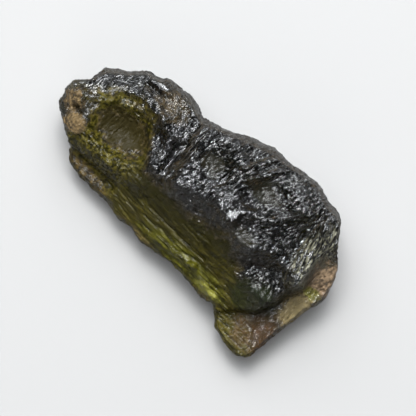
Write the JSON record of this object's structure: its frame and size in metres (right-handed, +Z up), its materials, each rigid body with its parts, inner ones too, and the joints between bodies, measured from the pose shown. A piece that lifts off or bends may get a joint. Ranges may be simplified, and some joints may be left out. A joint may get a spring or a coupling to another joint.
{
  "type": "moldavite",
  "caption": "Raw moldavite: an elongated, etched and grooved piece of dark green natural glass with a knobbly narrow end and a thin translucent flank.",
  "frame": {"origin": "middle of the stone's length and width, at the flat spot that it rests on", "axes": "+X along the length towards the thick broad end, +Y across it away from the thin flank, +Z up through the sculpted side"},
  "size_m": [0.0242, 0.0132, 0.0084],
  "materials": {
    "natural_glass": "etched glossy olive green glass, near black where it is thick"
  },
  "bodies": {
    "root": {"moldavite": "natural_glass"}
  },
  "joints": []
}
